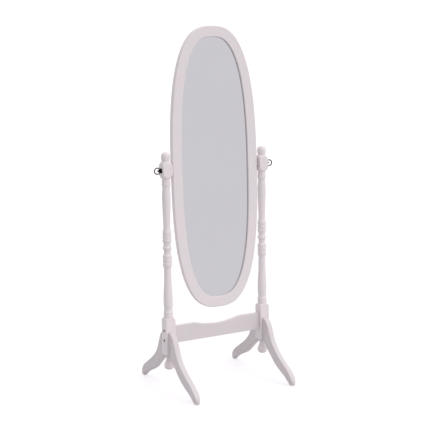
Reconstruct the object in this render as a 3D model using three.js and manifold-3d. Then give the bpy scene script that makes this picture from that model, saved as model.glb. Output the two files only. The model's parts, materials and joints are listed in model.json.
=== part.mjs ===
// Cheval floor mirror: a tilting framed mirror between two turned posts on four scrolled legs.
// Millimetres. X runs across the width, -Y is the front, +Z is up and Z = 0 is the floor.
import * as THREE from 'three';
import { mergeVertices } from 'three/addons/utils/BufferGeometryUtils.js';
import Module from 'manifold-3d';

const wasm = await Module();
wasm.setup();

// ---------------------------------------------------------------- driving dimensions
const POST_X = 232;                // post axis, each side of the middle
const BLOCK = 22;                  // half width of the square blocks on the posts
const CORNER = 31.4;               // turning radius that clears the corners of a block
const BLOCK_BOTTOM = 150;          // underside of the lower block
const FINIAL_TOP = 1005.5;
const TURN_SEGMENTS = 16;

const PIVOT_Z = 928.8;             // tilt axis
const REST_TILT = 1.9;             // degrees, top of the mirror leaning back
const RIM_A = 204.3;               // half width of the mirror frame
const RIM_B = 591.8;               // half height of the mirror frame
const RIM_POWER = [2.68, 2.75];    // squareness of its outline above and below, 2 is an ellipse
const RIM_CENTRE = -5.9;           // middle of the frame below the tilt axis
const RIM_HALF = 10;               // half thickness of the frame
const FACE = 46;                   // width of the frame's face
const GLASS_RABBET = 38.5;         // outer edge to the rabbet that holds the glass
const PANEL_RABBET = 23.5;         // outer edge to the wider rabbet that holds the back panel
const GLASS_FRONT = -2;            // front of the glass from the middle plane of the frame, + to the back
const GLASS_THICK = 3;
const PANEL_THICK = 3;
const RIM_SEGMENTS = 44;

const LEG_THICK = 25;
const LEG_TIP = 250;               // toe tip from the middle of the stand
const LEG_BASE = 2;                // underside of the toe above the floor
const GLIDE_Y = 236;               // foot glide from the middle of the stand

const RAIL_BOTTOM = 198;
const RAIL_TOP = 272.5;
const RAIL_DIP = 16.5;             // how far the middle of the top edge drops
const RAIL_HALF = 9;               // half thickness

const BOLT_Z = [213, 255];         // rail bolts
const NUT_X = 186;                 // barrel nuts from the middle
const DOWEL_Z = [175, 232];        // leg dowels
const DOWEL_R = 4;
const CLEAR = 0.3;                 // gap round inserted pieces

// ---------------------------------------------------------------- materials
const paint = new THREE.MeshStandardMaterial({ color: 0xe4dddc, roughness: 0.5, metalness: 0 });
const silvered = new THREE.MeshStandardMaterial({ color: 0xd4d6da, roughness: 0.04, metalness: 1 });
const hardboard = new THREE.MeshStandardMaterial({ color: 0x8a6748, roughness: 0.8, metalness: 0 });
const bronze = new THREE.MeshStandardMaterial({ color: 0x2b2622, roughness: 0.4, metalness: 0.8 });
const steel = new THREE.MeshStandardMaterial({ color: 0x9a9a98, roughness: 0.35, metalness: 1 });
const blackSteel = new THREE.MeshStandardMaterial({ color: 0x1c1a1a, roughness: 0.5, metalness: 0.6 });
const brass = new THREE.MeshStandardMaterial({ color: 0xb99a5b, roughness: 0.35, metalness: 1 });
const beech = new THREE.MeshStandardMaterial({ color: 0xcfae82, roughness: 0.7, metalness: 0 });
const nylon = new THREE.MeshStandardMaterial({ color: 0xe8e5df, roughness: 0.5, metalness: 0 });
const felt = new THREE.MeshStandardMaterial({ color: 0x3a3838, roughness: 0.9, metalness: 0 });

// ---------------------------------------------------------------- solids
// A three.js geometry as a solid for joining and cutting: positions only, corners shared.
function solid(geometry) {
  const bare = geometry.clone();
  bare.deleteAttribute('normal');
  bare.deleteAttribute('uv');
  const merged = mergeVertices(bare, 1e-4);
  const index = merged.index.array;
  const faces = [];
  for (let i = 0; i < index.length; i += 3) {
    const [a, b, c] = [index[i], index[i + 1], index[i + 2]];
    if (a !== b && b !== c && c !== a) faces.push(a, b, c);
  }
  return new wasm.Manifold(new wasm.Mesh({
    numProp: 3,
    vertProperties: new Float32Array(merged.attributes.position.array),
    triVerts: new Uint32Array(faces),
  }));
}

function geometryOf(body) {
  const { vertProperties, triVerts } = body.getMesh();
  const geometry = new THREE.BufferGeometry();
  geometry.setAttribute('position', new THREE.BufferAttribute(new Float32Array(vertProperties), 3));
  geometry.setIndex(new THREE.BufferAttribute(new Uint32Array(triVerts), 1));
  geometry.computeVertexNormals();
  return geometry;
}

// Cuts a list of solids out of a first one.
function cut(body, tools) {
  return tools.reduce((rest, tool) => rest.subtract(tool), body);
}

// A shape turned about Z from [height, radius] stations, closed on the axis at both ends.
function turned(stations, segments = TURN_SEGMENTS) {
  const points = [[stations[0][0], 0], ...stations, [stations.at(-1)[0], 0]]
    .filter(([, radius], i, all) => i === 0 || i === all.length - 1 || radius > 0)
    .map(([height, radius]) => new THREE.Vector2(radius, height));
  const geometry = new THREE.LatheGeometry(points, segments);
  return solid(geometry.rotateX(Math.PI / 2));
}

// A round rod along 'x', 'y' or 'z' between two positions on that axis.
function rod(radius, axis, from, to, [u, v] = [0, 0], segments = 16) {
  const geometry = new THREE.CylinderGeometry(radius, radius, Math.abs(to - from), segments);
  const middle = (from + to) / 2;
  if (axis === 'x') geometry.rotateZ(Math.PI / 2).translate(middle, u, v);
  if (axis === 'y') geometry.translate(u, middle, v);
  if (axis === 'z') geometry.rotateX(Math.PI / 2).translate(u, v, middle);
  return solid(geometry);
}

function box(x0, x1, y0, y1, z0, z1) {
  const geometry = new THREE.BoxGeometry(x1 - x0, y1 - y0, z1 - z0);
  return solid(geometry.translate((x0 + x1) / 2, (y0 + y1) / 2, (z0 + z1) / 2));
}

const object = new THREE.Group();
object.name = 'cheval_floor_mirror';

function add(name, body, material, parent = object) {
  const mesh = new THREE.Mesh(body.isBufferGeometry ? body : geometryOf(body), material);
  mesh.name = name;
  parent.add(mesh);
  return mesh;
}

// ---------------------------------------------------------------- turned profiles
// Profiles are written downwards as moulding after moulding, each starting where the last ended.
class Profile {
  constructor(height, radius) { this.stations = [[height, radius]]; }

  get end() { return this.stations.at(-1); }

  line(height, radius) { this.stations.push([height, radius]); return this; }

  // An S-shaped sweep that is upright at both ends.
  sweep(height, radius, steps = 5) {
    const [h0, r0] = this.end;
    for (let i = 1; i <= steps; i++) {
      const t = i / steps;
      this.stations.push([h0 + (height - h0) * t, r0 + (radius - r0) * (3 - 2 * t) * t * t]);
    }
    return this;
  }

  // A bead (or a cove, when the crest is below both ends) of the given height.
  bead(depth, crest, radius = this.end[1], steps = 3) {
    const [h0, r0] = this.end;
    for (let i = 1; i <= steps; i++) {
      const t = i / steps;
      const base = r0 + (radius - r0) * t;
      const lift = Math.sqrt(Math.max(0, 1 - (2 * t - 1) ** 2));
      this.stations.push([h0 - depth * t, base + (crest - base) * lift]);
    }
    return this;
  }

  // A rounded shoulder that opens onto a square block.
  shoulder(height, radius, steps = 3) {
    const [h0, r0] = this.end;
    for (let i = 1; i <= steps; i++) {
      const t = (i / steps) * Math.PI / 2;
      this.line(h0 + (height - h0) * (1 - Math.cos(t)), r0 + (radius - r0) * Math.sin(t));
    }
    return this;
  }

  // The stations in rising order, as the lathe needs them.
  get rising() { return [...this.stations].reverse(); }
}

function postProfile() {
  const p = new Profile(FINIAL_TOP, 2.5);
  // Finial: a ball with a slightly full top.
  for (const t of [0.25, 0.5, 0.76, 1]) {
    p.line(984 + 21.5 * (1 - t ** 2.3) ** (1 / 2.3), 19.2 * t);
  }
  p.line(976.5, 18.6).line(971, 17).line(967.5, 16);
  // Upper block, its corners turned away in long curves above and below.
  p.line(966, 18.5).line(960, 23).line(953, 26.8).line(946, 29.4).line(938, CORNER);
  p.line(921, CORNER).line(914, 30).line(907, 27.2).line(901, 23.2).line(894.5, 16.8);
  // Collar, bead and the long upper vase.
  p.line(889, 16.2).bead(11, 17.8, 16.4).bead(14, 18.2, 16.1).line(860, 15.9);
  p.sweep(818, 18.1, 4).line(790, 17.6).line(768, 16.8).line(738, 15.9).line(705, 14.7).line(690, 14.7);
  // Stack of rings with two coves.
  p.sweep(676, 17.9, 3).bead(14, 18.8, 17.2).bead(18, 18.5, 17).bead(13, 19.2, 17.5);
  p.bead(20, 15.1, 17.7, 4).bead(10, 19.1, 17.6).bead(24, 14.3, 17.6, 4);
  p.bead(13, 19.2, 17.7).bead(17, 18.7, 17.6).bead(19, 19.3, 17.2);
  p.sweep(519, 15, 3);
  // Slender lower shaft that swells into a vase, then a narrow neck and two beads.
  p.line(478, 15.5).line(451, 16.6).line(425, 18.2).line(405, 19.1).line(378, 19.7).line(362, 19.2);
  p.line(350, 17.6).line(344, 17.3);
  p.line(338, 18.4).bead(12, 20.5, 19.4).bead(13, 20.4, 19.4);
  // Lower block.
  p.line(310, 20.4).shoulder(294, CORNER).line(BLOCK_BOTTOM, CORNER);
  return p.rising;
}

// ---------------------------------------------------------------- posts
const HEAD_SEAT = POST_X + BLOCK - 5.2;   // where a bolt head bears inside its recess

function post(side) {
  const square = box(-BLOCK, BLOCK, -BLOCK, BLOCK, BLOCK_BOTTOM - 10, FINIAL_TOP + 10);
  const blank = turned(postProfile()).intersect(square);
  const outer = side * (BLOCK + 1);
  const seat = side * (HEAD_SEAT - POST_X);
  const holes = [rod(3.4, 'x', -BLOCK - 1, BLOCK + 1, [0, PIVOT_Z])];
  for (const z of BOLT_Z) {
    holes.push(rod(2.9, 'x', -BLOCK - 1, BLOCK + 1, [0, z], 12), rod(5.8, 'x', seat, outer, [0, z]));
  }
  for (const z of DOWEL_Z) {
    for (const end of [-1, 1]) {
      holes.push(rod(DOWEL_R + CLEAR, 'y', end * 7, end * (BLOCK + 1), [0, z], 12));
    }
  }
  holes.push(rod(2.8, 'z', BLOCK_BOTTOM - 1, BLOCK_BOTTOM + 19, [0, 0], 12));
  return cut(blank, holes);
}

// Turned drop under each post: a spigot, a collar, a waist and a pear-shaped bulb.
function drop() {
  const p = new Profile(BLOCK_BOTTOM, 11.5).line(146.4, 11.5).line(146.4, 16.6);
  p.bead(5.4, 17.8, 16.2).line(138.6, 13.6).line(134, 12.4).line(129, 12.7).line(122, 15.6);
  p.line(115, 19.3).line(108, 21.2).line(102, 21.4).line(96, 20.4).line(90.5, 17.2).line(87.2, 12.6);
  p.line(86, 8);
  return turned(p.rising).subtract(rod(2.8, 'z', 127, BLOCK_BOTTOM + 1, [0, 0], 12));
}

// ---------------------------------------------------------------- legs
// Outline in the plane of the board: distance from the middle of the stand, height.
function legOutline() {
  const s = new THREE.Shape();
  s.moveTo(BLOCK - 8, 252);
  s.lineTo(BLOCK, 251.5);
  s.bezierCurveTo(38, 250, 50, 240, 58.5, 224.5);
  s.bezierCurveTo(72, 199, 80, 173, 95, 151.5);
  s.bezierCurveTo(106, 137, 122, 122, 142, 107);
  s.bezierCurveTo(166, 90, 190, 76, 211, 62);
  s.bezierCurveTo(227, 51, 241, 37, 248.5, 22);
  s.bezierCurveTo(253, 11, 251, LEG_BASE, 243, LEG_BASE);
  s.lineTo(231, LEG_BASE);
  s.bezierCurveTo(222, 8, 208, 20, 190, 29.5);
  s.bezierCurveTo(164, 41, 140, 51, 119, 65);
  s.bezierCurveTo(96, 82, 80, 98, 62, 112);
  s.bezierCurveTo(46, 124, 32, 137, BLOCK, 149);
  s.lineTo(BLOCK - 8, 158);
  return s;
}

function leg() {
  const round = 5;
  const geometry = new THREE.ExtrudeGeometry(legOutline(), {
    depth: LEG_THICK - 2 * round, curveSegments: 3,
    bevelEnabled: true, bevelSegments: 2, bevelThickness: round, bevelSize: round, bevelOffset: -round,
  });
  geometry.translate(0, 0, -(LEG_THICK - 2 * round) / 2);
  const upright = new THREE.Matrix4().makeBasis(
    new THREE.Vector3(0, 1, 0), new THREE.Vector3(0, 0, 1), new THREE.Vector3(1, 0, 0));
  const board = solid(geometry.applyMatrix4(upright));

  // Plan outline: a flat end against the post and a rounded toe.
  const half = LEG_THICK / 2 + 0.5;
  const plan = new THREE.Shape();
  plan.moveTo(half, BLOCK);
  plan.lineTo(half, LEG_TIP - half);
  plan.absarc(0, LEG_TIP - half, half, 0, Math.PI, false);
  plan.lineTo(-half, BLOCK);
  const column = new THREE.ExtrudeGeometry(plan, { depth: 300, bevelEnabled: false, curveSegments: 8 });
  const prism = solid(column.translate(0, 0, -10));

  const holes = DOWEL_Z.map((z) => rod(DOWEL_R + CLEAR, 'y', BLOCK - 1, BLOCK + 19, [0, z], 12));
  holes.push(rod(1.8, 'z', LEG_BASE - 1, 15, [0, GLIDE_Y], 10));
  return cut(board.intersect(prism), holes);
}

// Foot glide: a disc with a nail that goes up into the toe.
function glide() {
  return rod(6, 'z', 0, LEG_BASE, [0, 0], 18).add(rod(1.5, 'z', 0, 13, [0, 0], 10));
}

// ---------------------------------------------------------------- rail
const RAIL_END = POST_X - BLOCK;

function rail() {
  const s = new THREE.Shape();
  const over = RAIL_END + 6;
  s.moveTo(-over, RAIL_BOTTOM);
  s.lineTo(over, RAIL_BOTTOM);
  s.lineTo(over, RAIL_TOP);
  s.lineTo(120, RAIL_TOP);
  s.bezierCurveTo(110, RAIL_TOP, 104, RAIL_TOP - 1.5, 97, RAIL_TOP - 3.3);
  s.bezierCurveTo(70, RAIL_TOP - 10.5, 35, RAIL_TOP - RAIL_DIP, 0, RAIL_TOP - RAIL_DIP);
  s.bezierCurveTo(-35, RAIL_TOP - RAIL_DIP, -70, RAIL_TOP - 10.5, -97, RAIL_TOP - 3.3);
  s.bezierCurveTo(-104, RAIL_TOP - 1.5, -110, RAIL_TOP, -120, RAIL_TOP);
  s.lineTo(-over, RAIL_TOP);
  const round = 2.5;
  const geometry = new THREE.ExtrudeGeometry(s, {
    depth: 2 * (RAIL_HALF - round), curveSegments: 4,
    bevelEnabled: true, bevelSegments: 1, bevelThickness: round, bevelSize: round, bevelOffset: -round,
  });
  geometry.translate(0, 0, round - RAIL_HALF).rotateX(Math.PI / 2);
  const board = solid(geometry).intersect(box(-RAIL_END, RAIL_END, -40, 40, 150, 320));
  const holes = [];
  for (const side of [-1, 1]) {
    for (const z of BOLT_Z) {
      holes.push(rod(2.9, 'x', side * (NUT_X - 9), side * (RAIL_END + 1), [0, z], 12));
      holes.push(rod(5.3, 'y', -5, RAIL_HALF + 1, [side * NUT_X, z]));
    }
  }
  return cut(board, holes);
}

// Socket-head connecting bolt along +X, head outwards, and the barrel nut that takes it.
function railBolt() {
  const head = rod(5.4, 'x', HEAD_SEAT, HEAD_SEAT + 5);
  const socket = rod(2.3, 'x', HEAD_SEAT + 2, HEAD_SEAT + 6, [0, 0], 6);
  return rod(2.5, 'x', NUT_X - 7, HEAD_SEAT + 1, [0, 0], 12).add(head).subtract(socket);
}

function barrelNut() {
  return rod(5, 'y', -4.5, 8.5).subtract(rod(2.9, 'x', -6, 6, [0, 0], 12));
}

// ---------------------------------------------------------------- mirror
// Point on the frame's outline family: `inset` runs inwards from the outer edge.
function rimPoint(angle, inset) {
  const [c, s] = [Math.cos(angle), Math.sin(angle)];
  const power = 2 / RIM_POWER[s >= 0 ? 0 : 1];
  return new THREE.Vector2(
    (RIM_A - inset) * Math.sign(c) * Math.abs(c) ** power,
    (RIM_B - inset) * Math.sign(s) * Math.abs(s) ** power + RIM_CENTRE,
  );
}

function rimLoop(inset) {
  return Array.from({ length: RIM_SEGMENTS }, (_, i) => rimPoint((i / RIM_SEGMENTS) * 2 * Math.PI, inset));
}

// Section of the frame as [inset, depth], depth growing to the back.
const rimSection = [
  [0, RIM_HALF], [0, -4.5], [1.4, -8.1], [4.8, -RIM_HALF], [FACE - 3.2, -RIM_HALF], [FACE - 0.8, -9],
  [FACE, -6.6], [FACE, GLASS_FRONT - 0.2], [GLASS_RABBET, GLASS_FRONT - 0.2],
  [GLASS_RABBET, GLASS_FRONT + GLASS_THICK + 0.1], [PANEL_RABBET, GLASS_FRONT + GLASS_THICK + 0.1],
  [PANEL_RABBET, RIM_HALF],
];

// The section carried round the outline as one closed ring.
function rim() {
  const n = rimSection.length;
  const positions = [];
  const index = [];
  for (let i = 0; i < RIM_SEGMENTS; i++) {
    const angle = (i / RIM_SEGMENTS) * 2 * Math.PI;
    for (const [inset, depth] of rimSection) {
      const { x, y } = rimPoint(angle, inset);
      positions.push(x, depth, y);
    }
    for (let j = 0; j < n; j++) {
      const [a, b] = [i * n + j, i * n + (j + 1) % n];
      const [c, d] = [a, b].map((k) => (k + n) % (RIM_SEGMENTS * n));
      index.push(a, c, b, b, c, d);
    }
  }
  const geometry = new THREE.BufferGeometry();
  geometry.setAttribute('position', new THREE.Float32BufferAttribute(positions, 3));
  geometry.setIndex(index);
  return solid(geometry);
}

// A flat sheet with the frame's outline, between two depths.
function sheet(inset, front, thickness) {
  const shape = new THREE.Shape(rimLoop(inset));
  const geometry = new THREE.ExtrudeGeometry(shape, { depth: thickness, bevelEnabled: false });
  return solid(geometry.rotateX(Math.PI / 2).translate(0, front + thickness, 0));
}

const SCREW_INSET = 29;
const SCREW_ANGLES = [0.5, -0.5].map((turn) => turn * Math.PI);
for (const lean of [0.2, 0.72]) {
  SCREW_ANGLES.push(lean, -lean, Math.PI - lean, Math.PI + lean);
}
const screwSpots = SCREW_ANGLES.map((angle) => rimPoint(angle, SCREW_INSET));
const PANEL_FRONT = GLASS_FRONT + GLASS_THICK + 0.3;
const PANEL_BACK = PANEL_FRONT + PANEL_THICK;

function frameRing() {
  const holes = screwSpots.map(({ x, y }) => rod(1.8, 'y', -6, PANEL_FRONT, [x, y], 8));
  for (const side of [-1, 1]) {
    holes.push(rod(4.8, 'x', side * (RIM_A - 15), side * (RIM_A + 1), [0, 0]));
  }
  return cut(rim(), holes);
}

function backPanel() {
  const holes = screwSpots.map(({ x, y }) => rod(1.9, 'y', 0, RIM_HALF, [x, y], 8));
  return cut(sheet(PANEL_RABBET + 0.5, PANEL_FRONT, PANEL_THICK), holes);
}

function panelScrew() {
  const head = rod(2.9, 'y', PANEL_BACK + 0.2, PANEL_BACK + 1.8, [0, 0], 12);
  const slot = box(-4, 4, PANEL_BACK + 1.2, 12, -0.4, 0.4);
  return head.subtract(slot).add(rod(1.5, 'y', -5.5, PANEL_BACK + 0.6, [0, 0], 8));
}

// ---------------------------------------------------------------- tilt hardware, along +X
const RING_R = 12.6;               // ring centre line
const WIRE = 2.3;                  // ring wire radius
const RING_X = POST_X + BLOCK + 2.2 + WIRE + RING_R;

function knob() {
  const hoop = new THREE.TorusGeometry(RING_R, WIRE, 6, 20).rotateX(Math.PI / 2);
  const ring = solid(hoop.translate(RING_X, 0, 0));
  const nub = turned([[0, 4.3], [10.5, 4], [13.6, 2.8], [14.8, 1.2]], 12).rotate([0, 90, 0])
    .translate([RING_X - RING_R - WIRE, 0, 0]);
  const shank = rod(3, 'x', 193, RING_X - RING_R);
  return ring.add(nub).add(shank);
}

// Domed washer between the ring and the post.
function washer() {
  const x = POST_X + BLOCK + 0.2;
  return turned([[0, 11.2], [0.5, 11.2], [1.1, 8.5], [1.3, 5]], 24).subtract(rod(3.4, 'z', -1, 3))
    .rotate([0, 90, 0]).translate([x, 0, 0]);
}

// Spacer between post and frame, and the threaded insert in the frame's edge.
function spacer() {
  return rod(9, 'x', RIM_A + CLEAR, RAIL_END - CLEAR, [0, 0], 20).subtract(rod(3.4, 'x', 180, 240));
}

function frameInsert() {
  return rod(4.5, 'x', RIM_A - 14.5, RIM_A - 0.4).subtract(rod(3.4, 'x', 180, 240));
}

// ---------------------------------------------------------------- assembly
const mirror = new THREE.Group();
mirror.position.z = PIVOT_Z;
mirror.rotation.x = THREE.MathUtils.degToRad(-REST_TILT);
object.add(mirror);
add('mirror_frame', frameRing(), paint, mirror);
add('mirror_glass', sheet(GLASS_RABBET + 0.5, GLASS_FRONT, GLASS_THICK), silvered, mirror);
add('back_panel', backPanel(), hardboard, mirror);
screwSpots.forEach(({ x, y }, i) => {
  add(`back_screw_${i + 1}`, panelScrew(), steel, mirror).position.set(x, 0, y);
});

add('rail', rail(), paint);

for (const side of [-1, 1]) {
  const name = side < 0 ? 'left' : 'right';
  const facing = side < 0 ? Math.PI : 0;

  // A piece made along +X, turned to face its own side.
  const place = (label, body, material, z, parent = object) => {
    const mesh = add(label, body, material, parent);
    mesh.position.z = z;
    mesh.rotation.z = facing;
  };
  place(`${name}_knob`, knob(), bronze, PIVOT_Z);
  place(`${name}_knob_washer`, washer(), bronze, PIVOT_Z);
  place(`${name}_pivot_spacer`, spacer(), nylon, PIVOT_Z);
  place(`${name}_frame_insert`, frameInsert(), brass, 0, mirror);
  BOLT_Z.forEach((z, i) => {
    const level = i ? 'upper' : 'lower';
    place(`${name}_rail_bolt_${level}`, railBolt(), blackSteel, z);
    add(`${name}_barrel_nut_${level}`, barrelNut(), steel).position.set(side * NUT_X, 0, z);
  });

  const upright = new THREE.Group();
  upright.position.x = side * POST_X;
  object.add(upright);
  add(`${name}_post`, post(side), paint, upright);
  add(`${name}_drop_finial`, drop(), paint, upright);
  add(`${name}_drop_screw`, rod(2.5, 'z', 128, BLOCK_BOTTOM + 18, [0, 0], 12), steel, upright);
  for (const end of [-1, 1]) {
    const place4 = `${end < 0 ? 'front' : 'rear'}_${name}`;
    add(`${place4}_leg`, leg(), paint, upright).rotation.z = end < 0 ? Math.PI : 0;
    add(`${place4}_glide`, glide(), felt, upright).position.y = end * GLIDE_Y;
    DOWEL_Z.forEach((z, i) => {
      const dowel = rod(DOWEL_R, 'y', end * 8, end * (BLOCK + 18), [0, z], 12);
      add(`${place4}_dowel_${i ? 'upper' : 'lower'}`, dowel, beech, upright);
    });
  }
}

export default object;
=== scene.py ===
"""Looks of the cheval floor mirror: fine meshes, materials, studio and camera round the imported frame."""
import json
import math

import bpy
from mathutils import Matrix, Quaternion, Vector


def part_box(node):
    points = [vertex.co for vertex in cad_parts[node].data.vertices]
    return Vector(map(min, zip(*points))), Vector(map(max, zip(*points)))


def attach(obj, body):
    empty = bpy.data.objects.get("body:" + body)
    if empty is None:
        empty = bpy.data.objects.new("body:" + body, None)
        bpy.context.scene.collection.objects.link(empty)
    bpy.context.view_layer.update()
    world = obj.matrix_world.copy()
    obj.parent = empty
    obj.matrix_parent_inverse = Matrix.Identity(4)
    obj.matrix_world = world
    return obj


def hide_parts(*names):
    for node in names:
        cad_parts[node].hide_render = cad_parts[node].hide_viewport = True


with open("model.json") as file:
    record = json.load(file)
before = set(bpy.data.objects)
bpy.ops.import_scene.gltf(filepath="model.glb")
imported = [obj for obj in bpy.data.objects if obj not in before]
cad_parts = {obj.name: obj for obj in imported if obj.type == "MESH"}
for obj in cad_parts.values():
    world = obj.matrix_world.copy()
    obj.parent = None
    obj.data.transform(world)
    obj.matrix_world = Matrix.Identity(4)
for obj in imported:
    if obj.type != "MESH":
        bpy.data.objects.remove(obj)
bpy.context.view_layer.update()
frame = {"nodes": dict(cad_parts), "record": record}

# ------------------------------------------------------------------ camera
CAMERA_AZIMUTH = -29.78       # degrees round from the front, negative to the left
CAMERA_ELEVATION = 9.05
CAMERA_ROLL = -0.66
CAMERA_DISTANCE = 4.5105      # metres from the point it looks at
CAMERA_TARGET = Vector((-0.0019, 0, 0.7239))
CAMERA_LENS = 89.2            # millimetres on a 36 mm sensor


def make_camera():
    """Camera at the photograph's angle, aimed at the middle of the object."""
    azimuth = math.radians(CAMERA_AZIMUTH)
    elevation = math.radians(CAMERA_ELEVATION)
    back = Vector((
        math.sin(azimuth) * math.cos(elevation),
        -math.cos(azimuth) * math.cos(elevation),
        math.sin(elevation)))
    data = bpy.data.cameras.new("camera")
    data.lens = CAMERA_LENS
    camera = bpy.data.objects.new("camera", data)
    camera.location = CAMERA_TARGET + back * CAMERA_DISTANCE
    camera.rotation_mode = "QUATERNION"
    roll = Quaternion((0, 0, 1), math.radians(CAMERA_ROLL))
    camera.rotation_quaternion = (-back).to_track_quat("-Z", "Y") @ roll
    bpy.context.scene.collection.objects.link(camera)
    bpy.context.scene.camera = camera


make_camera()

# ------------------------------------------------------------------ sizes, in millimetres
MM = 0.001
low, high = (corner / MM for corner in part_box("right_post"))
POST_X = (low.x + high.x) / 2
BLOCK = (high.x - low.x) / 2              # half width of the square blocks
BLOCK_BOTTOM = low.z
FINIAL_TOP = high.z
low, high = (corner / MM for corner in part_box("right_knob"))
PIVOT_Z = (low.z + high.z) / 2            # tilt axis
RING_TIP = high.x                         # outer end of the ring handle
low, high = (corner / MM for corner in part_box("mirror_frame"))
RIM_A = high.x                            # half width of the frame
low, high = (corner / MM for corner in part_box("rail"))
RAIL_BOTTOM, RAIL_TOP, RAIL_END, RAIL_HALF = low.z, high.z, high.x, high.y
low, high = (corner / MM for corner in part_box("rear_right_leg"))
LEG_TIP, LEG_BASE, LEG_HALF = high.y, low.z, (high.x - low.x) / 2

CORNER = 31.4                             # turning radius that clears the corners of a block
REST_TILT = 1.9                           # degrees, top of the mirror leaning back
RIM_B = 591.8                             # half height of the frame
RIM_POWER = (2.68, 2.75)                  # squareness of the outline above and below
RIM_CENTRE = -5.9                         # middle of the frame below the tilt axis
RIM_HALF = 10                             # half thickness of the frame
FACE = 46                                 # width of the frame's face
GLASS_RABBET = 38.5
PANEL_RABBET = 23.5
GLASS_FRONT, GLASS_BACK = -2, 1           # depths from the middle plane of the frame, + to the back
PANEL_FRONT, PANEL_BACK = 1.3, 4.3
SCREW_INSET = 29
RAIL_DIP = 16.5
BOLT_Z = (213, 255)
HEAD_SEAT = POST_X + BLOCK - 5.2
NUT_X = 186
DOWEL_Z = (175, 232)
GLIDE_Y = 236
RIM_STEPS = 320
PIVOT_BORE = 3.4                          # radius of the holes that a ring handle's shank runs through
BOLT_BORE = 2.9
BOLT_HEAD_BORE = 5.8
DOWEL_BORE = 4.3
DROP_SCREW_BORE = 2.8
GLIDE_NAIL_BORE = 1.8

# Mirror pieces are modelled upright about the tilt axis and leaned back by this.
LEAN = Matrix.Translation((0, 0, PIVOT_Z)) @ Matrix.Rotation(math.radians(-REST_TILT), 4, "X")


# ------------------------------------------------------------------ mesh helpers
def make_object(name, points, faces):
    """A mesh object from points in millimetres, with its faces turned outwards."""
    mesh = bpy.data.meshes.new(name)
    mesh.from_pydata([Vector(p) * MM for p in points], [], faces)
    mesh.validate()
    obj = bpy.data.objects.new(name, mesh)
    bpy.context.scene.collection.objects.link(obj)
    face_outwards(mesh)
    return obj


def face_outwards(mesh):
    """Turns a closed mesh's faces outwards, by the sign of its volume."""
    mesh.calc_loop_triangles()
    volume = 0
    for triangle in mesh.loop_triangles:
        a, b, c = (mesh.vertices[i].co for i in triangle.vertices)
        volume += a.dot(b.cross(c))
    if volume < 0:
        mesh.flip_normals()


def skin(name, rings, loop=False):
    """A closed surface through rings of points, which joins back to the first ring or has capped ends."""
    size = len(rings[0])
    points = [p for ring in rings for p in ring]
    faces = []
    for i in range(len(rings) if loop else len(rings) - 1):
        here, there = i * size, (i + 1) % len(rings) * size
        faces += [(here + j, here + (j + 1) % size, there + (j + 1) % size, there + j) for j in range(size)]
    if not loop:
        last = (len(rings) - 1) * size
        faces += [tuple(range(size))[::-1], tuple(range(last, last + size))]
    return make_object(name, points, faces)


def turned(name, stations, steps=64):
    """A shape turned about Z from (height, radius) stations, with flat ends."""
    angles = [2 * math.pi * i / steps for i in range(steps)]
    return skin(name, [[(r * math.cos(a), r * math.sin(a), z) for a in angles] for z, r in stations])


def revolved(name, section, steps=64):
    """A ring about Z from a closed (height, radius) section."""
    angles = [2 * math.pi * i / steps for i in range(steps)]
    rings = [[(r * math.cos(a), r * math.sin(a), z) for z, r in section] for a in angles]
    return skin(name, rings, loop=True)


def arc(centre, radius, start, end, steps):
    """Points on an arc, with angles in degrees from the first axis towards the second."""
    angles = [math.radians(start + (end - start) * i / steps) for i in range(steps + 1)]
    return [(centre[0] + radius * math.cos(a), centre[1] + radius * math.sin(a)) for a in angles]


def bezier(start, first, second, end, steps):
    """Points on a cubic curve, its end included and its start left out."""
    start, first, second, end = (Vector(p) for p in (start, first, second, end))
    points = []
    for i in range(1, steps + 1):
        t = i / steps
        u = 1 - t
        points.append(start * u ** 3 + first * 3 * u * u * t + second * 3 * u * t * t + end * t ** 3)
    return points


def combine(obj, tool, operation):
    """Joins or cuts obj with tool, which is used up."""
    modifier = obj.modifiers.new("combine", "BOOLEAN")
    modifier.operation, modifier.solver, modifier.object = operation, "EXACT", tool
    evaluated = obj.evaluated_get(bpy.context.evaluated_depsgraph_get())
    made = bpy.data.meshes.new_from_object(evaluated)
    obj.modifiers.clear()
    old, obj.data = obj.data, made
    bpy.data.meshes.remove(old)
    bpy.data.objects.remove(tool)


def drill(obj, stations, axis, start, steps=32):
    """Cuts a turned hole into obj. Stations are (depth, radius) from the start point along axis."""
    tool = turned("drill", stations, steps)
    turn = Vector((0, 0, 1)).rotation_difference(Vector(axis)).to_matrix().to_4x4()
    tool.data.transform(Matrix.Translation(Vector(start) * MM) @ turn)
    combine(obj, tool, "DIFFERENCE")


def bore(obj, radius, depth, axis, start, steps=32):
    """Drills a plain hole of one radius."""
    drill(obj, [(-1, radius), (depth, radius)], axis, start, steps)


def settle(obj, matrix=None):
    """Moves a mesh to its place, the translation in millimetres, and smooths it between sharp edges."""
    if matrix is not None:
        place = matrix.copy()
        place.translation = place.translation * MM
        obj.data.transform(place)
    obj.data.shade_smooth()
    obj.data.set_sharp_from_angle(angle=math.radians(38))
    weighted = obj.modifiers.new("weighted normals", "WEIGHTED_NORMAL")
    weighted.keep_sharp = True
    return obj


def finish_piece(obj, body, node, material):
    """Puts a finished piece on its body, in place of its CAD node."""
    obj.data.materials.clear()
    obj.data.materials.append(material)
    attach(obj, body)
    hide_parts(node)


def copies(obj, placements):
    """Settled copies of a mesh, one for each (name, matrix). The original is used up."""
    made = []
    for name, matrix in placements:
        twin = obj.copy()
        twin.data = obj.data.copy()
        twin.name = twin.data.name = name
        bpy.context.scene.collection.objects.link(twin)
        made.append(settle(twin, matrix))
    bpy.data.objects.remove(obj)
    return made


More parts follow.
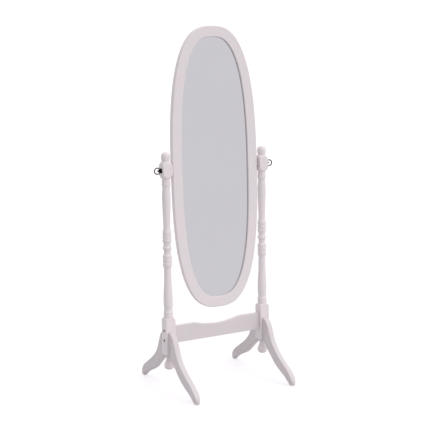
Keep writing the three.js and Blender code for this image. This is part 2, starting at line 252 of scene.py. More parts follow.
# ------------------------------------------------------------------ materials
class Nodes:
    """Short calls for building one material's node tree."""

    def __init__(self, name):
        self.material = bpy.data.materials.new(name)
        self.material.use_nodes = True
        self.tree = self.material.node_tree
        self.shader = self.tree.nodes["Principled BSDF"]
        self.position = self.add("ShaderNodeTexCoord").outputs["Object"]

    def add(self, kind, **settings):
        """A new node with its settings."""
        node = self.tree.nodes.new(kind)
        for key, value in settings.items():
            setattr(node, key, value)
        return node

    def link(self, value, socket):
        """Connects another node's output to the socket, or sets the socket to a constant."""
        if isinstance(value, bpy.types.NodeSocket):
            self.tree.links.new(value, socket)
        else:
            socket.default_value = value

    def set(self, **values):
        """Feeds the shader's inputs, with underscores for the spaces in their names."""
        for key, value in values.items():
            self.link(value, self.shader.inputs[key.replace("_", " ")])

    def stretched(self, scale, turn=(0, 0, 0)):
        """Position turned by degrees, then scaled on each axis."""
        mapping = self.add("ShaderNodeMapping", vector_type="POINT")
        self.link(self.position, mapping.inputs["Vector"])
        mapping.inputs["Rotation"].default_value = [math.radians(a) for a in turn]
        mapping.inputs["Scale"].default_value = scale
        return mapping.outputs["Vector"]

    def noise(self, scale, detail=2.0, rough=0.5, vector=None, distortion=0.0):
        node = self.add("ShaderNodeTexNoise")
        self.link(self.position if vector is None else vector, node.inputs["Vector"])
        node.inputs["Scale"].default_value = scale
        node.inputs["Detail"].default_value = detail
        node.inputs["Roughness"].default_value = rough
        node.inputs["Distortion"].default_value = distortion
        return node.outputs["Fac"]

    def ramp(self, value, low, high, to_low=0.0, to_high=1.0):
        """Value carried smoothly from the range low to high onto another range."""
        node = self.add("ShaderNodeMapRange", interpolation_type="SMOOTHSTEP")
        for socket, number in zip(node.inputs, (value, low, high, to_low, to_high)):
            self.link(number, socket)
        return node.outputs["Result"]

    def math(self, operation, a, b=0.0):
        node = self.add("ShaderNodeMath", operation=operation)
        self.link(a, node.inputs[0])
        self.link(b, node.inputs[1])
        return node.outputs["Value"]

    def mix(self, share, first, second):
        node = self.add("ShaderNodeMix", data_type="RGBA")
        self.link(share, node.inputs[0])
        for colour, socket in ((first, node.inputs[6]), (second, node.inputs[7])):
            self.link(colour if isinstance(colour, bpy.types.NodeSocket) else (*colour, 1), socket)
        return node.outputs[2]

    def occlusion(self, distance, inside=False):
        """1 in the open and less in grooves, or on edges when it looks inside."""
        node = self.add("ShaderNodeAmbientOcclusion", samples=6, inside=inside, only_local=inside)
        node.inputs["Distance"].default_value = distance
        return node.outputs["AO"]

    def bump(self, height, depth, after=None):
        """A normal raised by height, at most depth metres, on top of another normal."""
        node = self.add("ShaderNodeBump")
        node.inputs["Distance"].default_value = depth
        self.link(height, node.inputs["Height"])
        if after is not None:
            self.link(after, node.inputs["Normal"])
        return node.outputs["Normal"]


# Linear colours.
WHITE_WARM = (0.800, 0.735, 0.740)
WHITE_COOL = (0.775, 0.732, 0.745)
WHITE_SHADE = (0.735, 0.680, 0.690)
GROOVE_SHADE = (0.46, 0.41, 0.42)
SEAM_SHADE = (0.040, 0.034, 0.034)        # painted shade inside narrow gaps, joints and recesses
PAINTED_SHADE_TONE = (0.25, 0.22, 0.23)           # painted shade: tone that the frame, rail and legs are darkened towards
WORN_PAINT = (0.72, 0.66, 0.61)
GLASS_TINT = (0.785, 0.782, 0.803)


def paint(name, grain, turn=(0, 0, 0), depth=0.0):
    """Satin off-white paint on wood, with its grain along one direction. Depth darkens it all over as
    painted shade.
    """
    n = Nodes(name)
    streaks = n.noise(1, 5, 0.6, n.stretched(grain, turn), 0.4)
    patches = n.noise(9, 3)
    peel = n.noise(420, 2)
    colour = n.mix(n.ramp(patches, 0.35, 0.65), WHITE_COOL, WHITE_WARM)
    colour = n.mix(n.ramp(streaks, 0.45, 0.75, 0, 0.3), colour, WHITE_SHADE)
    edge = n.ramp(n.occlusion(0.0025, inside=True), 0.55, 0.9, 1, 0)
    worn = n.math("MULTIPLY", edge, n.ramp(n.noise(60, 4, 0.7), 0.5, 0.75, 0.02, 0.3))
    colour = n.mix(worn, colour, WORN_PAINT)
    # Painted shade: grooves, recesses and inner corners are darkened towards GROOVE_SHADE by occlusion
    # within 6 mm.
    groove = n.ramp(n.occlusion(0.006), 0.25, 0.85, 0.4, 0)
    colour = n.mix(groove, colour, GROOVE_SHADE)
    # Painted shade: near black wherever another surface is within about 4 mm, for the dark lines of gaps,
    # joints and bolt recesses.
    painted_seam_shade = n.ramp(n.occlusion(0.004), 0.1, 0.42, 0.92, 0)
    colour = n.mix(painted_seam_shade, colour, SEAM_SHADE)
    # Painted shade: the whole piece is darkened by depth, so that it reads as less lit than the posts.
    colour = n.mix(depth, colour, PAINTED_SHADE_TONE)
    n.set(Base_Color=colour, Roughness=n.ramp(n.noise(30, 3), 0.3, 0.7, 0.40, 0.54))
    grained = n.bump(streaks, 0.00018)
    n.set(Normal=n.bump(peel, 0.00006, after=grained))
    return n.material


def silvered_glass():
    """Silver layer under a thin clear coat of glass, with faint smears and painted shade near the frame."""
    n = Nodes("silvered_glass")
    smears = n.noise(14, 5, 0.65, distortion=0.6)
    cloud = n.noise(3, 2)
    tint = n.mix(n.ramp(cloud, 0.3, 0.7), GLASS_TINT, tuple(c * 0.985 for c in GLASS_TINT))
    # Painted shade: the silvering is greyed within 6 mm of the frame's lip.
    edge = n.ramp(n.occlusion(0.006), 0.2, 0.9, 0.35, 0)
    n.set(Base_Color=n.mix(edge, tint, (0.42, 0.43, 0.45)), Roughness=n.ramp(smears, 0.4, 0.8, 0.012, 0.05))
    n.set(Metallic=1.0, Coat_Weight=1.0, Coat_Roughness=0.015, Coat_IOR=1.5)
    return n.material


def metal(name, dark, light, smooth, rough, worn):
    """Metal with mottled colour, edges rubbed to the worn tone, and a finely pitted surface."""
    n = Nodes(name)
    mottle = n.noise(170, 4, 0.6)
    colour = n.mix(n.ramp(mottle, 0.35, 0.7), dark, light)
    edge = n.ramp(n.occlusion(0.0012, inside=True), 0.45, 0.85, 1, 0)
    rubbed = n.math("MULTIPLY", edge, n.ramp(n.noise(330, 3, 0.7), 0.35, 0.7, 0.1, 0.8))
    colour = n.mix(rubbed, colour, worn)
    n.set(Base_Color=colour, Metallic=1.0, Roughness=n.ramp(n.noise(240, 3), 0.3, 0.7, smooth, rough))
    n.set(Normal=n.bump(n.noise(900, 3, 0.6), 0.00004))
    return n.material


def hardboard():
    """Brown pressed fibreboard with a smooth, faintly fibrous face."""
    n = Nodes("hardboard")
    fibres = n.noise(1, 6, 0.7, n.stretched((900, 300, 160), (0, 28, 0)), 1.2)
    flecks = n.noise(650, 3, 0.6)
    colour = n.mix(n.ramp(fibres, 0.35, 0.7), (0.175, 0.095, 0.048), (0.30, 0.18, 0.095))
    colour = n.mix(n.ramp(flecks, 0.62, 0.8, 0, 0.5), colour, (0.10, 0.055, 0.03))
    colour = n.mix(n.ramp(n.noise(8, 3), 0.3, 0.7, 0, 0.3), colour, (0.22, 0.125, 0.065))
    edge = n.ramp(n.occlusion(0.002, inside=True), 0.5, 0.9, 0.5, 0)
    n.set(Base_Color=n.mix(edge, colour, (0.38, 0.26, 0.16)), Roughness=n.ramp(fibres, 0.3, 0.7, 0.55, 0.75))
    n.set(Normal=n.bump(flecks, 0.00006, after=n.bump(fibres, 0.00012)))
    return n.material


def bare_beech():
    """Unfinished beech with short dark flecks."""
    n = Nodes("bare_beech")
    grain = n.noise(1, 5, 0.65, n.stretched((700, 60, 700)), 0.5)
    colour = n.mix(n.ramp(grain, 0.35, 0.7), (0.60, 0.41, 0.25), (0.44, 0.27, 0.15))
    edge = n.ramp(n.occlusion(0.001, inside=True), 0.5, 0.9, 0.4, 0)
    n.set(Base_Color=n.mix(edge, colour, (0.68, 0.50, 0.33)), Roughness=n.ramp(grain, 0.3, 0.7, 0.6, 0.75))
    n.set(Normal=n.bump(grain, 0.0001))
    return n.material


def moulded(name, dark, light, rough, worn, depth):
    """Moulded plastic or rubber with a fine matt texture and scuffed edges."""
    n = Nodes(name)
    colour = n.mix(n.ramp(n.noise(90, 3), 0.3, 0.7), dark, light)
    edge = n.ramp(n.occlusion(0.0012, inside=True), 0.5, 0.9, 0.6, 0)
    colour = n.mix(edge, colour, worn)
    n.set(Base_Color=colour, Roughness=n.ramp(n.noise(300, 3), 0.3, 0.7, rough, rough + 0.15))
    n.set(Normal=n.bump(n.noise(1400, 2), depth))
    return n.material


# The slots' materials, and paint with its grain along each direction that the boards and posts take.
PAINT_UPRIGHT = paint("white_paint_upright", (260, 260, 9))
# The rail, frame and legs get copies of the same paint darkened by depth as painted shade, with the rear
# legs darkest.
PAINT_ACROSS_SHADED = paint("white_paint_across_shaded", (9, 260, 260), depth=0.17)
PAINT_FRAME_SHADED = paint("white_paint_frame_shaded", (90, 90, 24), depth=0.04)
PAINT_FRONT_LEG_SHADED = paint("white_paint_front_leg_shaded", (260, 9, 260), (-42, 0, 0), 0.2)
PAINT_REAR_LEG_SHADED = paint("white_paint_rear_leg_shaded", (260, 9, 260), (42, 0, 0), 0.25)
GLASS = silvered_glass()
HARDBOARD = hardboard()
BRONZE = metal("bronze", (0.014, 0.010, 0.008), (0.045, 0.031, 0.021), 0.36, 0.52, worn=(0.20, 0.13, 0.08))
BLACK_STEEL = metal("black_steel", (0.004, 0.004, 0.004), (0.010, 0.009, 0.009), 0.5, 0.65,
                    worn=(0.012, 0.011, 0.011))
ZINC_STEEL = metal("zinc_steel", (0.42, 0.42, 0.40), (0.60, 0.60, 0.58), 0.28, 0.45, worn=(0.75, 0.75, 0.73))
BRASS = metal("brass", (0.50, 0.34, 0.13), (0.66, 0.47, 0.20), 0.25, 0.42, worn=(0.80, 0.62, 0.32))
BEECH = bare_beech()
NYLON = moulded("nylon", (0.66, 0.63, 0.58), (0.74, 0.71, 0.67), 0.42, (0.80, 0.78, 0.75), 0.00002)
DARK_GLIDE = moulded("dark_glide", (0.030, 0.027, 0.026), (0.055, 0.050, 0.047), 0.7,
                     (0.13, 0.12, 0.11), 0.00006)
SLOT_MATERIAL = {
    "white_paint": PAINT_UPRIGHT, "silvered_glass": GLASS, "hardboard": HARDBOARD, "bronze": BRONZE,
    "black_steel": BLACK_STEEL, "zinc_steel": ZINC_STEEL, "brass": BRASS, "beech": BEECH, "nylon": NYLON,
    "dark_glide": DARK_GLIDE,
}


# ------------------------------------------------------------------ turned profiles
class Profile:
    """(height, radius) stations written downwards, moulding after moulding."""

    def __init__(self, height, radius):
        self.stations = [(height, radius)]

    def line(self, *stations):
        """Straight runs from one station to the next."""
        self.stations += stations
        return self

    def sweep(self, height, radius, steps=16):
        """An S-shaped sweep that is upright at both ends."""
        start, first = self.stations[-1]
        for i in range(1, steps + 1):
            t = i / steps
            self.line((start + (height - start) * t, first + (radius - first) * (3 - 2 * t) * t * t))
        return self

    def curve(self, *stations, steps=6):
        """A smooth curve through the stations from where the profile has got to."""
        knots = [self.stations[-1], *stations]
        knots = [knots[0], *knots, knots[-1]]
        for before, start, end, after in zip(knots, knots[1:], knots[2:], knots[3:]):
            for i in range(1, steps + 1):
                t = i / steps
                slope_in = [(e - b) / 2 for b, e in zip(before, end)]
                slope_out = [(a - s) / 2 for s, a in zip(start, after)]
                self.line(tuple(
                    (2 * t ** 3 - 3 * t * t + 1) * s + (t ** 3 - 2 * t * t + t) * m
                    + (3 * t * t - 2 * t ** 3) * e + (t ** 3 - t * t) * k
                    for s, e, m, k in zip(start, end, slope_in, slope_out)))
        return self

    def bead(self, depth, crest, radius=None, steps=9):
        """A bead, or a cove when the crest is below both ends."""
        start, first = self.stations[-1]
        radius = first if radius is None else radius
        for i in range(1, steps + 1):
            t = i / steps
            base = first + (radius - first) * t
            lift = math.sqrt(max(0, 1 - (2 * t - 1) ** 2))
            self.line((start - depth * t, base + (crest - base) * lift))
        return self

    def shoulder(self, height, radius, steps=30):
        """A rounded shoulder that opens onto a square block."""
        start, first = self.stations[-1]
        for i in range(1, steps + 1):
            t = math.radians(90 * i / steps)
            self.line((start + (height - start) * (1 - math.cos(t)), first + (radius - first) * math.sin(t)))
        return self


# ------------------------------------------------------------------ posts and drop finials
BLOCK_EDGE = 1.5                          # rounding of the blocks' long edges
CREASE = 1.4                              # softness of the edge between a block and its turned shoulder
CORNER_STEPS = (0.25, 0.75, 1.25, 1.75, 2.3, 3.2, 5)
BALL_Z, BALL_R = 984, 19.2                # middle and radius of the finial ball
BALL_POWER = 2.3                          # squareness of the ball's upper half


def post_angles():
    """Angles round a post, close together at the corners of its blocks."""
    angles = []
    for corner in (45, 135, 225, 315):
        angles += [corner - step for step in reversed(CORNER_STEPS)]
        angles += [corner + step for step in CORNER_STEPS]
        angles += [corner + 5 + 80 * i / 16 for i in range(1, 16)]
    return [math.radians(a) for a in angles]


def square_reach(angle):
    """Distance from a post's axis to the rounded square outline of its blocks."""
    small, large = sorted((abs(math.cos(angle)), abs(math.sin(angle))))
    inner = BLOCK - BLOCK_EDGE
    if BLOCK * small / large <= inner:
        return BLOCK / large
    total = inner * (small + large)
    return total + math.sqrt(total ** 2 - 2 * inner ** 2 + BLOCK_EDGE ** 2)


def smooth_least(a, b, softness):
    """The lesser of two lengths, rounded off where they are nearly equal."""
    share = max(0, 1 - abs(a - b) / softness)
    return min(a, b) - share * share * softness / 4


def post_profile():
    """Outline of a post, from its finial down to the underside of its lower block."""
    p = Profile(FINIAL_TOP, 0.8)
    for i in range(2, 17):
        t = math.sin(math.radians(90 * i / 16))
        rise = (1 - t ** BALL_POWER) ** (1 / BALL_POWER)
        p.line((BALL_Z + (FINIAL_TOP - BALL_Z) * rise, BALL_R * t))
    p.curve((976.5, 18.6), (971, 17), (967.5, 16)).line((966, 18.3))
    p.curve((960, 23), (953, 26.8), (946, 29.4), (938, CORNER)).line((921, CORNER))
    p.curve((914, 30), (907, 27.2), (901, 23.2), (894.5, 16.8))
    p.line((889, 16.2)).bead(11, 17.8, 16.4).bead(14, 18.2, 16.1).line((860, 15.9))
    p.sweep(818, 18.1)
    p.curve((790, 17.6), (768, 16.8), (738, 15.9), (705, 14.7), (690, 14.7)).sweep(676, 17.9, 8)
    p.bead(14, 18.8, 17.2).bead(18, 18.5, 17).bead(13, 19.2, 17.5).bead(20, 15.1, 17.7).bead(10, 19.1, 17.6)
    p.bead(24, 14.3, 17.6).bead(13, 19.2, 17.7).bead(17, 18.7, 17.6).bead(19, 19.3, 17.2).sweep(519, 15, 8)
    p.curve((478, 15.5), (451, 16.6), (425, 18.2), (405, 19.1), (378, 19.7), (362, 19.2),
            (350, 17.6), (344, 17.3))
    p.line((338, 18.4)).bead(12, 20.5, 19.4).bead(13, 20.4, 19.4).line((310, 20.4))
    p.shoulder(294, CORNER).line((BLOCK_BOTTOM + 0.8, CORNER))
    return p.stations


def make_post():
    """A post about its own axis, with the bolt recesses on the side towards +X."""
    angles = post_angles()
    rings = []
    for z, radius in post_profile():
        reach = [smooth_least(radius, square_reach(a), CREASE) for a in angles]
        rings.append([(r * math.cos(a), r * math.sin(a), z) for r, a in zip(reach, angles)])
    for z, inset in ((BLOCK_BOTTOM + 0.25, 0.25), (BLOCK_BOTTOM, 0.8)):
        reach = [square_reach(a) - inset for a in angles]
        rings.append([(r * math.cos(a), r * math.sin(a), z) for r, a in zip(reach, angles)])
    post = skin("post", rings)
    bore(post, PIVOT_BORE, 2 * BLOCK + 1, (1, 0, 0), (-BLOCK, 0, PIVOT_Z))
    seat = POST_X + BLOCK - HEAD_SEAT
    recess = [(-1, 6.4), (0, 5.9), (0.2, BOLT_HEAD_BORE), (seat, BOLT_HEAD_BORE),
              (seat + 0.01, BOLT_BORE), (2 * BLOCK + 1, BOLT_BORE)]
    for z in BOLT_Z:
        drill(post, recess, (-1, 0, 0), (BLOCK, 0, z))
    for z in DOWEL_Z:
        for end in (-1, 1):
            bore(post, DOWEL_BORE, BLOCK - 7, (0, -end, 0), (0, end * BLOCK, z))
    bore(post, DROP_SCREW_BORE, 19, (0, 0, 1), (0, 0, BLOCK_BOTTOM))
    return post


def make_drop():
    """The drop under a post: spigot, collar, waist and pear-shaped bulb."""
    p = Profile(BLOCK_BOTTOM, 11.5).line((146.4, 11.5), (146.3, 16.3), (146, 16.6))
    p.bead(5, 17.8, 16.2)
    p.curve((138.6, 13.6), (134, 12.4), (129, 12.7), (122, 15.6), (115, 19.3), (108, 21.2), (102, 21.4),
            (96, 20.4), (90.5, 17.2), (87.2, 12.6), (86, 8), steps=4)
    p.line((85.9, 4))
    drop = turned("drop", p.stations)
    bore(drop, DROP_SCREW_BORE, 23, (0, 0, -1), (0, 0, BLOCK_BOTTOM))
    return drop


SIDES = (("left", -1), ("right", 1))
ENDS = (("front", -1), ("rear", 1))


def facing(side, x=0.0, z=0.0):
    """Places a piece made towards +X on its own side."""
    turn = Matrix.Rotation(math.pi if side < 0 else 0, 4, "Z")
    return Matrix.Translation((side * x, 0, z)) @ turn


def place_all(obj, pieces):
    """Copies obj to each (node, body, slot, material, matrix), in place of that CAD node."""
    made = copies(obj, [(f"{node}_fine", matrix) for node, _, _, _, matrix in pieces])
    for piece, (node, body, slot, material, _) in zip(made, pieces):
        finish_piece(piece, body, node, material)


place_all(make_post(), [
    (f"{name}_post", "stand", "white_paint", PAINT_UPRIGHT, facing(side, POST_X))
    for name, side in SIDES])
place_all(make_drop(), [
    (f"{name}_drop_finial", "stand", "white_paint", PAINT_UPRIGHT, facing(side, POST_X))
    for name, side in SIDES])


# ------------------------------------------------------------------ legs and rail
LEG_ROUND = 5                             # rounding of the legs' long edges
RAIL_ROUND = 2.5
TOE_ROUND = 14                            # length of the rounded end of a toe


def rounded_section(half, height, radius, steps=5):
    """A rounded rectangle as (across, up), with `up` from 0 to height."""
    radius = min(radius, 0.49 * height)
    points = []
    for x, z, start in ((1, 1, 0), (-1, 1, 90), (-1, 0, 180), (1, 0, 270)):
        centre = (x * (half - radius), height - radius if z else radius)
        points += arc(centre, radius, start, start + 90, steps)
    return points


def leg_edges():
    """Matching points along a leg's upper and lower edge, as (from the middle of the stand, height)."""
    upper = [Vector((BLOCK, 251.5))]
    for first, second, end, steps in (
            ((38, 250), (50, 240), (58.5, 224.5), 8), ((72, 199), (80, 173), (95, 151.5), 8),
            ((106, 137), (122, 122), (142, 107), 9), ((166, 90), (190, 76), (211, 62), 10),
            ((227, 51), (241, 37), (248.5, 22), 9)):
        upper += bezier(upper[-1], first, second, end, steps)
    lower = [Vector((BLOCK, 149))]
    for first, second, end, steps in (
            ((32, 137), (46, 124), (62, 112), 16), ((80, 98), (96, 82), (119, 65), 9),
            ((140, 51), (164, 41), (190, 29.5), 10), ((208, 20), (222, 8), (231, LEG_BASE), 9)):
        lower += bezier(lower[-1], first, second, end, steps)
    nose = bezier((248.5, 22), (253, 11), (251, LEG_BASE), (243, LEG_BASE), 16)
    upper += nose[:7]
    lower += [Vector((235, LEG_BASE)), Vector((239, LEG_BASE))]
    lower += [nose[i] for i in (15, 13, 11, 10, 9)]
    return list(zip(upper, lower))


def make_leg():
    """The rear leg of a post, from the post's own axis."""
    rings = []
    for upper, lower in leg_edges():
        height = (upper - lower).length
        ring = []
        for across, up in rounded_section(LEG_HALF, height, LEG_ROUND):
            y, z = lower + (upper - lower) * (up / height)
            into_toe = min(0.999, max(0, (y - LEG_TIP + TOE_ROUND) / (TOE_ROUND + 0.6)))
            ring.append((across * math.sqrt(1 - into_toe ** 2.4), y, z))
        rings.append(ring)
    leg = skin("leg", rings)
    for z in DOWEL_Z:
        bore(leg, DOWEL_BORE, 19, (0, 1, 0), (0, BLOCK, z))
    bore(leg, GLIDE_NAIL_BORE, 15 - LEG_BASE, (0, 0, 1), (0, GLIDE_Y, LEG_BASE), 16)
    return leg


def make_rail():
    """The rail with its dipped top edge."""
    crown = RAIL_TOP - RAIL_DIP
    half = [Vector((x, RAIL_TOP)) for x in (RAIL_END, RAIL_END - 1, 160, 120)]
    half += bezier((120, RAIL_TOP), (110, RAIL_TOP), (104, RAIL_TOP - 1.5), (97, RAIL_TOP - 3.3), 8)
    half += bezier((97, RAIL_TOP - 3.3), (70, RAIL_TOP - 10.5), (35, crown), (0, crown), 16)
    edge = [(-x, z) for x, z in half] + [(x, z) for x, z in half[-2::-1]]
    rings = []
    for x, top in edge:
        section = rounded_section(RAIL_HALF, top - RAIL_BOTTOM, RAIL_ROUND, 4)
        rings.append([(x, across, RAIL_BOTTOM + up) for across, up in section])
    rail = skin("rail", rings)
    nut_hole = [(-1, 6), (0, 5.7), (0.4, 5.3), (RAIL_HALF + 5, 5.3)]
    for side in (-1, 1):
        for z in BOLT_Z:
            bore(rail, BOLT_BORE, RAIL_END - NUT_X + 9, (-side, 0, 0), (side * RAIL_END, 0, z))
            drill(rail, nut_hole, (0, -1, 0), (side * NUT_X, RAIL_HALF, z))
    return rail


place_all(make_leg(), [
    (f"{end_name}_{name}_leg", "stand", "white_paint", PAINT_REAR_LEG_SHADED if end > 0 else PAINT_FRONT_LEG_SHADED,
     Matrix.Translation((side * POST_X, 0, 0)) @ Matrix.Rotation(math.pi if end < 0 else 0, 4, "Z"))
    for name, side in SIDES for end_name, end in ENDS])
place_all(make_rail(), [("rail", "stand", "white_paint", PAINT_ACROSS_SHADED, Matrix.Identity(4))])


# ------------------------------------------------------------------ mirror
def rim_point(angle, inset):
    """Point on the frame's outline family, with the inset running inwards from the outer edge."""
    c, s = math.cos(angle), math.sin(angle)
    power = 2 / RIM_POWER[0 if s >= 0 else 1]
    across = (RIM_A - inset) * math.copysign(abs(c) ** power, c)
    return across, (RIM_B - inset) * math.copysign(abs(s) ** power, s) + RIM_CENTRE


def even_angles(count, fine=20000):
    """Angles that space points evenly along the outline."""
    walk = [rim_point(2 * math.pi * i / fine, 0) for i in range(fine + 1)]
    lengths = [0.0]
    for here, there in zip(walk, walk[1:]):
        lengths.append(lengths[-1] + math.dist(here, there))
    angles, i = [], 0
    for k in range(count):
        while lengths[i] < lengths[-1] * k / count:
            i += 1
        angles.append(2 * math.pi * i / fine)
    return angles


RIM_ANGLES = even_angles(RIM_STEPS)


def rim_section():
    """The frame's section as (inset, depth), with depth growing to the back."""
    outer, inner, back = 5.2, 3.4, 1.0
    section = arc((back, RIM_HALF - back), back, 90, 180, 3)
    section += arc((outer, outer - RIM_HALF), outer, 180, 270, 8)
    section += arc((FACE - inner, inner - RIM_HALF), inner, 270, 360, 6)
    section += [(FACE, GLASS_FRONT - 0.2), (GLASS_RABBET, GLASS_FRONT - 0.2)]
    section += [(GLASS_RABBET, GLASS_BACK + 0.1), (PANEL_RABBET, GLASS_BACK + 0.1)]
    section += arc((PANEL_RABBET - back, RIM_HALF - back), back, 0, 90, 3)
    return section


def make_frame(spots):
    """The frame, with holes for the inserts in its edge and for the screws of the back panel."""
    rings = []
    for angle in RIM_ANGLES:
        ring = []
        for inset, depth in rim_section():
            x, z = rim_point(angle, inset)
            ring.append((x, depth, z))
        rings.append(ring)
    rim = skin("frame", rings, loop=True)
    for side in (-1, 1):
        bore(rim, 4.8, 15, (-side, 0, 0), (side * RIM_A, 0, 0))
    for x, z in spots:
        bore(rim, 1.8, PANEL_FRONT + 6.5, (0, -1, 0), (x, PANEL_FRONT, z), 16)
    return rim


def make_sheet(name, inset, front, back, edge):
    """A flat sheet with the frame's outline and slightly broken edges."""
    rings = []
    for depth, extra in ((front, edge), (front + edge, 0), (back - edge, 0), (back, edge)):
        loop = [rim_point(angle, inset + extra) for angle in RIM_ANGLES]
        rings.append([(x, depth, z) for x, z in loop])
    return skin(name, rings)


def make_back_panel(spots):
    """The hardboard behind the glass, with a clearance hole for each screw."""
    panel = make_sheet("panel", PANEL_RABBET + 0.5, PANEL_FRONT, PANEL_BACK, 0.4)
    for x, z in spots:
        bore(panel, 1.9, PANEL_BACK - PANEL_FRONT + 1, (0, -1, 0), (x, PANEL_BACK, z), 16)
    return panel


def make_cuboid(name, low, high):
    """A box, for cutting slots."""
    (x0, y0, z0), (x1, y1, z1) = low, high
    return skin(name, [[(x0, y0, z), (x1, y0, z), (x1, y1, z), (x0, y1, z)] for z in (z0, z1)])


def make_panel_screw():
    """A pan-head cross-slot screw along +Y, with its point to the front."""
    seat = PANEL_BACK + 0.2
    shank = [(-7.5, 0.3), (-5.5, 1.5), (0, 1.5)]
    dome = [(0.15 + 1.45 * math.sin(t), 2.9 * math.cos(t)) for t in (0.3, 0.6, 0.9, 1.15, 1.35)]
    screw = turned("screw", [*shank, (0, 2.6), (0.15, 2.9), *dome], 32)
    for half_x, half_z in ((1.6, 0.35), (0.35, 1.6)):
        combine(screw, make_cuboid("slot", (-half_x, -half_z, 0.7), (half_x, half_z, 4)), "DIFFERENCE")
    turn = Vector((0, 0, 1)).rotation_difference(Vector((0, 1, 0))).to_matrix().to_4x4()
    screw.data.transform(Matrix.Translation((0, seat * MM, 0)) @ turn)
    return screw


screw_angles = [math.pi / 2, -math.pi / 2]
for lean in (0.2, 0.72):
    screw_angles += [lean, -lean, math.pi - lean, math.pi + lean]
screw_spots = [rim_point(angle, SCREW_INSET) for angle in screw_angles]

place_all(make_frame(screw_spots), [("mirror_frame", "mirror", "white_paint", PAINT_FRAME_SHADED, LEAN)])
place_all(make_sheet("glass", GLASS_RABBET + 0.5, GLASS_FRONT, GLASS_BACK, 0.4), [
    ("mirror_glass", "mirror", "silvered_glass", GLASS, LEAN)])
place_all(make_back_panel(screw_spots), [("back_panel", "mirror", "hardboard", HARDBOARD, LEAN)])
place_all(make_panel_screw(), [
    (f"back_screw_{i + 1}", "mirror", "zinc_steel", ZINC_STEEL,
     LEAN @ Matrix.Translation((x, 0, z)) @ Matrix.Rotation(0.7 * i, 4, "Y"))
    for i, (x, z) in enumerate(screw_spots)])


# ------------------------------------------------------------------ tilt hardware, along +X
RING_R, WIRE = 12.6, 2.3
RING_X = RING_TIP - WIRE - RING_R
SHANK_END = 193
ALONG_X = Matrix.Rotation(math.pi / 2, 4, "Y")
ALONG_Y = Matrix.Rotation(-math.pi / 2, 4, "X")


def make_knob():
    """Ring handle with a short neck that stands into the ring, on its shank."""
    angles = [2 * math.pi * i / 20 for i in range(20)]
    ring = revolved("ring", [(WIRE * math.sin(a), RING_R + WIRE * math.cos(a)) for a in angles])
    ring.data.transform(Matrix.Translation((RING_X * MM, 0, 0)) @ ALONG_Y)
    start = RING_X - RING_R - WIRE
    neck = [(-0.3, 3), (0, 4), (0.4, 4.3), (5.5, 4.3), (10.5, 4), (12.4, 3.5), (13.8, 2.5),
            (14.6, 1.4), (14.8, 0.6)]
    stations = [(SHANK_END, 2.2), (SHANK_END + 0.8, 3)] + [(start + z, r) for z, r in neck]
    shank = turned("shank", stations, 40)
    shank.data.transform(ALONG_X)
    combine(ring, shank, "UNION")
    return ring


def make_washer():
    """Domed washer between a ring handle and its post."""
    angles = [math.radians(a) for a in range(12, 90, 13)]
    dome = [(1.3 * math.cos(a), PIVOT_BORE + 7.8 * math.sin(a)) for a in reversed(angles)]
    edge = [(0, PIVOT_BORE), (0, 11), (0.12, 11.2)]
    washer = revolved("washer", [*edge, *dome, (1.3, 4.4), (1.2, 3.6), (1.0, PIVOT_BORE)])
    washer.data.transform(Matrix.Translation(((POST_X + BLOCK + 0.2) * MM, 0, 0)) @ ALONG_X)
    return washer


def make_spacer():
    """Spacer ring between a post and the frame."""
    start, end, edge = RIM_A + 0.3, RAIL_END - 0.3, 0.5
    outside = [(start, 9 - edge), (start + edge, 9), (end - edge, 9), (end, 9 - edge)]
    spacer = revolved("spacer", [(start, PIVOT_BORE), *outside, (end, PIVOT_BORE)], 48)
    spacer.data.transform(ALONG_X)
    return spacer


def make_rail_bolt():
    """Socket-head connecting bolt, head outwards."""
    head = [(HEAD_SEAT, 2.5), (HEAD_SEAT + 0.01, 5.2), (HEAD_SEAT + 0.2, 5.4), (HEAD_SEAT + 4.6, 5.4),
            (HEAD_SEAT + 4.9, 5.2), (HEAD_SEAT + 5, 4.9)]
    bolt = turned("bolt", [(NUT_X - 7, 1.9), (NUT_X - 6.2, 2.5), *head], 40)
    combine(bolt, turned("socket", [(HEAD_SEAT + 2, 2.3), (HEAD_SEAT + 6, 2.3)], 6), "DIFFERENCE")
    bolt.data.transform(ALONG_X)
    return bolt


def make_barrel_nut():
    """Cross dowel that takes a rail bolt, with a driver slot in its end."""
    nut = turned("nut", [(-4.5, 4.6), (-4.1, 5), (8.1, 5), (8.5, 4.6)], 40)
    combine(nut, make_cuboid("slot", (-6, -0.6, 7.3), (6, 0.6, 10)), "DIFFERENCE")
    nut.data.transform(ALONG_Y)
    drill(nut, [(-7, BOLT_BORE), (7, BOLT_BORE)], (1, 0, 0), (0, 0, 0), 24)
    return nut


def make_glide():
    """Nail-on foot glide."""
    nail = [(13, 0.2), (11.5, 1.5), (LEG_BASE, 1.5)]
    pad = [(LEG_BASE - 0.01, 5.6), (LEG_BASE - 0.3, 6), (0.5, 6), (0.1, 5.6), (0, 5)]
    return turned("glide", nail + pad, 40)


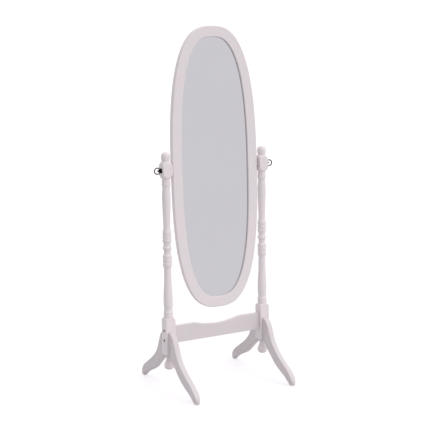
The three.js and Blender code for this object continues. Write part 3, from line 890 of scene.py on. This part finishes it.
place_all(make_knob(), [
    (f"{name}_knob", f"{name}_knob", "bronze", BRONZE, facing(side, 0, PIVOT_Z))
    for name, side in SIDES])
place_all(make_washer(), [
    (f"{name}_knob_washer", f"{name}_washer", "black_steel", BLACK_STEEL, facing(side, 0, PIVOT_Z))
    for name, side in SIDES])
place_all(make_spacer(), [
    (f"{name}_pivot_spacer", "stand", "nylon", NYLON, facing(side, 0, PIVOT_Z))
    for name, side in SIDES])
place_all(make_rail_bolt(), [
    (f"{name}_rail_bolt_{level}", "stand", "black_steel", BLACK_STEEL, facing(side, 0, z))
    for name, side in SIDES for level, z in zip(("lower", "upper"), BOLT_Z)])
place_all(make_barrel_nut(), [
    (f"{name}_barrel_nut_{level}", "stand", "zinc_steel", ZINC_STEEL,
     Matrix.Translation((side * NUT_X, 0, z)))
    for name, side in SIDES for level, z in zip(("lower", "upper"), BOLT_Z)])
place_all(make_glide(), [
    (f"{end_name}_{name}_glide", "stand", "dark_glide", DARK_GLIDE,
     Matrix.Translation((side * POST_X, end * GLIDE_Y, 0)))
    for name, side in SIDES for end_name, end in ENDS])


# ------------------------------------------------------------------ CAD nodes
# The dowels, drop screws and inserts keep their CAD shape, and every CAD node gets its slot's material.
for part in frame["record"]["subparts"]:
    node = frame["nodes"][part["node"]]
    node.data.materials.clear()
    node.data.materials.append(SLOT_MATERIAL[part["material_slot"]])


# ------------------------------------------------------------------ studio
FLOOR_RADIUS = 3.4
FLOOR_FADE = 1.2                          # width over which the floor melts into the backdrop
FLOOR_MIDDLE = Vector((-0.7, 1.2, 0))
BACKDROP_LIGHT, FRONT_LIGHT, LEFT_LIGHT, LOW_LIGHT = 1.12, 0.75, 0.5, 0.3
FLOOR_COVER = 0.25                        # opacity of the floor, so that it throws little light back
TOWARDS_BACKDROP = Vector((0.42, 0.88, 0.22)).normalized()


def make_floor():
    """Pale floor disc that fades out at its rim."""
    floor = turned("floor", [(-2, FLOOR_RADIUS / MM), (0, FLOOR_RADIUS / MM)], 96)
    floor.data.transform(Matrix.Translation(FLOOR_MIDDLE - Vector((0, 0, 0.0002))))
    n = Nodes("floor")
    colour = n.mix(n.ramp(n.noise(3, 3), 0.3, 0.7), (0.93, 0.925, 0.925), (0.945, 0.94, 0.94))
    n.set(Base_Color=colour, Roughness=0.9)
    n.set(Normal=n.bump(n.noise(60, 3), 0.0003))
    distance = n.add("ShaderNodeVectorMath", operation="DISTANCE")
    n.link(n.position, distance.inputs[0])
    distance.inputs[1].default_value = FLOOR_MIDDLE
    fade_start = FLOOR_RADIUS - FLOOR_FADE
    n.set(Alpha=n.ramp(distance.outputs["Value"], fade_start, FLOOR_RADIUS - 0.05, FLOOR_COVER, 0))
    floor.data.materials.append(n.material)


def make_world():
    """Soft studio light, brightest from behind, dimmer from the left and dimmest from below."""
    world = bpy.data.worlds.new("studio")
    world.use_nodes = True
    bpy.context.scene.world = world
    tree = world.node_tree
    background = tree.nodes["Background"]
    direction = tree.nodes.new("ShaderNodeTexCoord").outputs["Generated"]

    def facing_share(axis, start, end, low, high):
        """Light from low to high as the direction turns towards axis."""
        dot = tree.nodes.new("ShaderNodeVectorMath")
        dot.operation = "DOT_PRODUCT"
        tree.links.new(direction, dot.inputs[0])
        dot.inputs[1].default_value = axis
        ramp = tree.nodes.new("ShaderNodeMapRange")
        ramp.interpolation_type = "SMOOTHSTEP"
        tree.links.new(dot.outputs["Value"], ramp.inputs["Value"])
        for socket, number in zip(ramp.inputs[1:5], (start, end, low, high)):
            socket.default_value = number
        return ramp.outputs["Result"]

    light = facing_share(TOWARDS_BACKDROP, 0.1, 0.85, FRONT_LIGHT, BACKDROP_LIGHT)
    for axis, start, level in (((-1, 0, 0), 0.3, LEFT_LIGHT), ((0, 0, -1), 0.4, LOW_LIGHT)):
        total = tree.nodes.new("ShaderNodeMath")
        total.operation = "ADD"
        tree.links.new(light, total.inputs[0])
        tree.links.new(facing_share(axis, start, 0.9, 0, level - FRONT_LIGHT), total.inputs[1])
        light = total.outputs["Value"]
    background.inputs["Color"].default_value = (1.0, 0.985, 1.02, 1)
    tree.links.new(light, background.inputs["Strength"])


def make_sky_light(name, place, strength, spread, colour):
    """A broad distant light that shines from place towards the middle of the object."""
    data = bpy.data.lights.new(name, "SUN")
    data.energy, data.angle, data.color = strength, math.radians(spread), colour
    light = bpy.data.objects.new(name, data)
    light.location = place
    light.rotation_mode = "QUATERNION"
    light.rotation_quaternion = (-Vector(place)).to_track_quat("-Z", "Y")
    bpy.context.scene.collection.objects.link(light)


make_floor()
make_world()
make_sky_light("top", (0.6, -0.5, 3.6), 0.8, 70, (1, 0.99, 0.985))
make_sky_light("key", (1.6, -3.0, 2.2), 0.6, 50, (1, 0.975, 0.96))
bpy.context.scene.view_settings.view_transform = "Standard"
